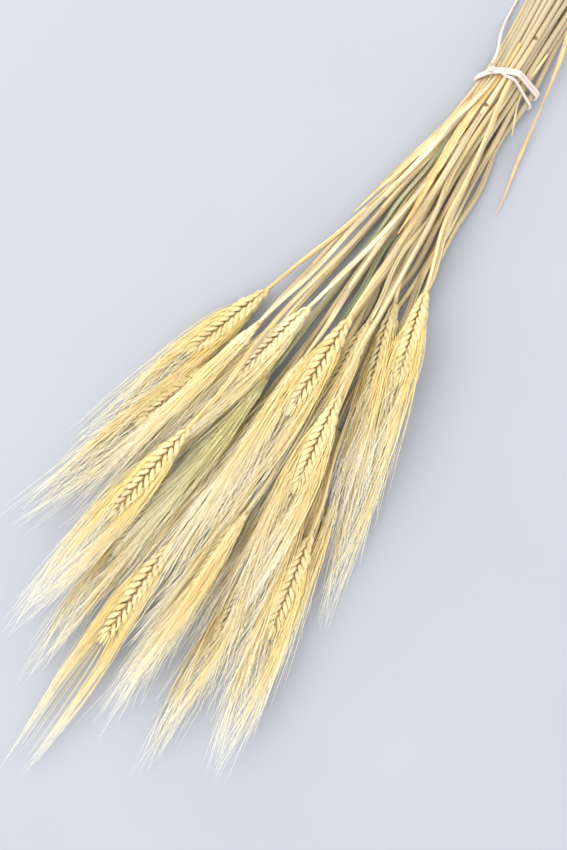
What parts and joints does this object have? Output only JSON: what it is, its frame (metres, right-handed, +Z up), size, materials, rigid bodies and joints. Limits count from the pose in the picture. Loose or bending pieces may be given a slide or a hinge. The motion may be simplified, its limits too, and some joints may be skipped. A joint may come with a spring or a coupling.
{
  "type": "tied bunch of dried wheat",
  "caption": "Bunch of dried bearded wheat with fanned ears and long awns, tied with cotton string and lying on its side.",
  "frame": {"origin": "on the table under the string, at the flat spot of the tie that the bunch rests on", "axes": "+Z up, +Y along the bunch towards its cut ends, -Y towards the ears and awns, +X across"},
  "size_m": [0.2277, 0.7151, 0.0477],
  "materials": {
    "wheat_golden": "dry golden straw, satin",
    "wheat_pale": "dry pale straw, satin",
    "wheat_straw": "dry straw, satin",
    "wheat_green": "dry grey-green straw, matt",
    "leaf_pale": "dry leaf blade, matt",
    "leaf_orange": "dry orange leaf blade, matt",
    "cotton_string": "twisted cotton, matt"
  },
  "bodies": {
    "root": {"stalk_01": "wheat_golden", "stalk_02": "wheat_golden", "stalk_03": "wheat_pale", "stalk_04": "wheat_pale", "stalk_05": "wheat_golden", "stalk_06": "wheat_pale", "stalk_07": "wheat_green", "stalk_08": "wheat_straw", "stalk_09": "wheat_golden", "stalk_10": "wheat_golden", "stalk_11": "wheat_golden", "stalk_12": "wheat_golden", "stalk_13": "wheat_straw", "stalk_14": "wheat_golden", "stalk_15": "wheat_golden", "stalk_16": "wheat_golden", "stalk_17": "wheat_straw", "stalk_18": "wheat_green", "stalk_19": "wheat_golden", "stalk_20": "wheat_straw", "stalk_21": "wheat_straw", "stalk_22": "wheat_straw", "stalk_23": "wheat_straw", "stalk_24": "wheat_straw", "stalk_25": "wheat_straw", "stalk_26": "wheat_straw", "stalk_27": "wheat_golden", "leaf_left": "leaf_pale", "leaf_top": "leaf_orange", "leaf_right": "leaf_orange", "leaf_short": "leaf_pale", "string_tie": "cotton_string", "string_tail": "cotton_string"}
  },
  "joints": []
}
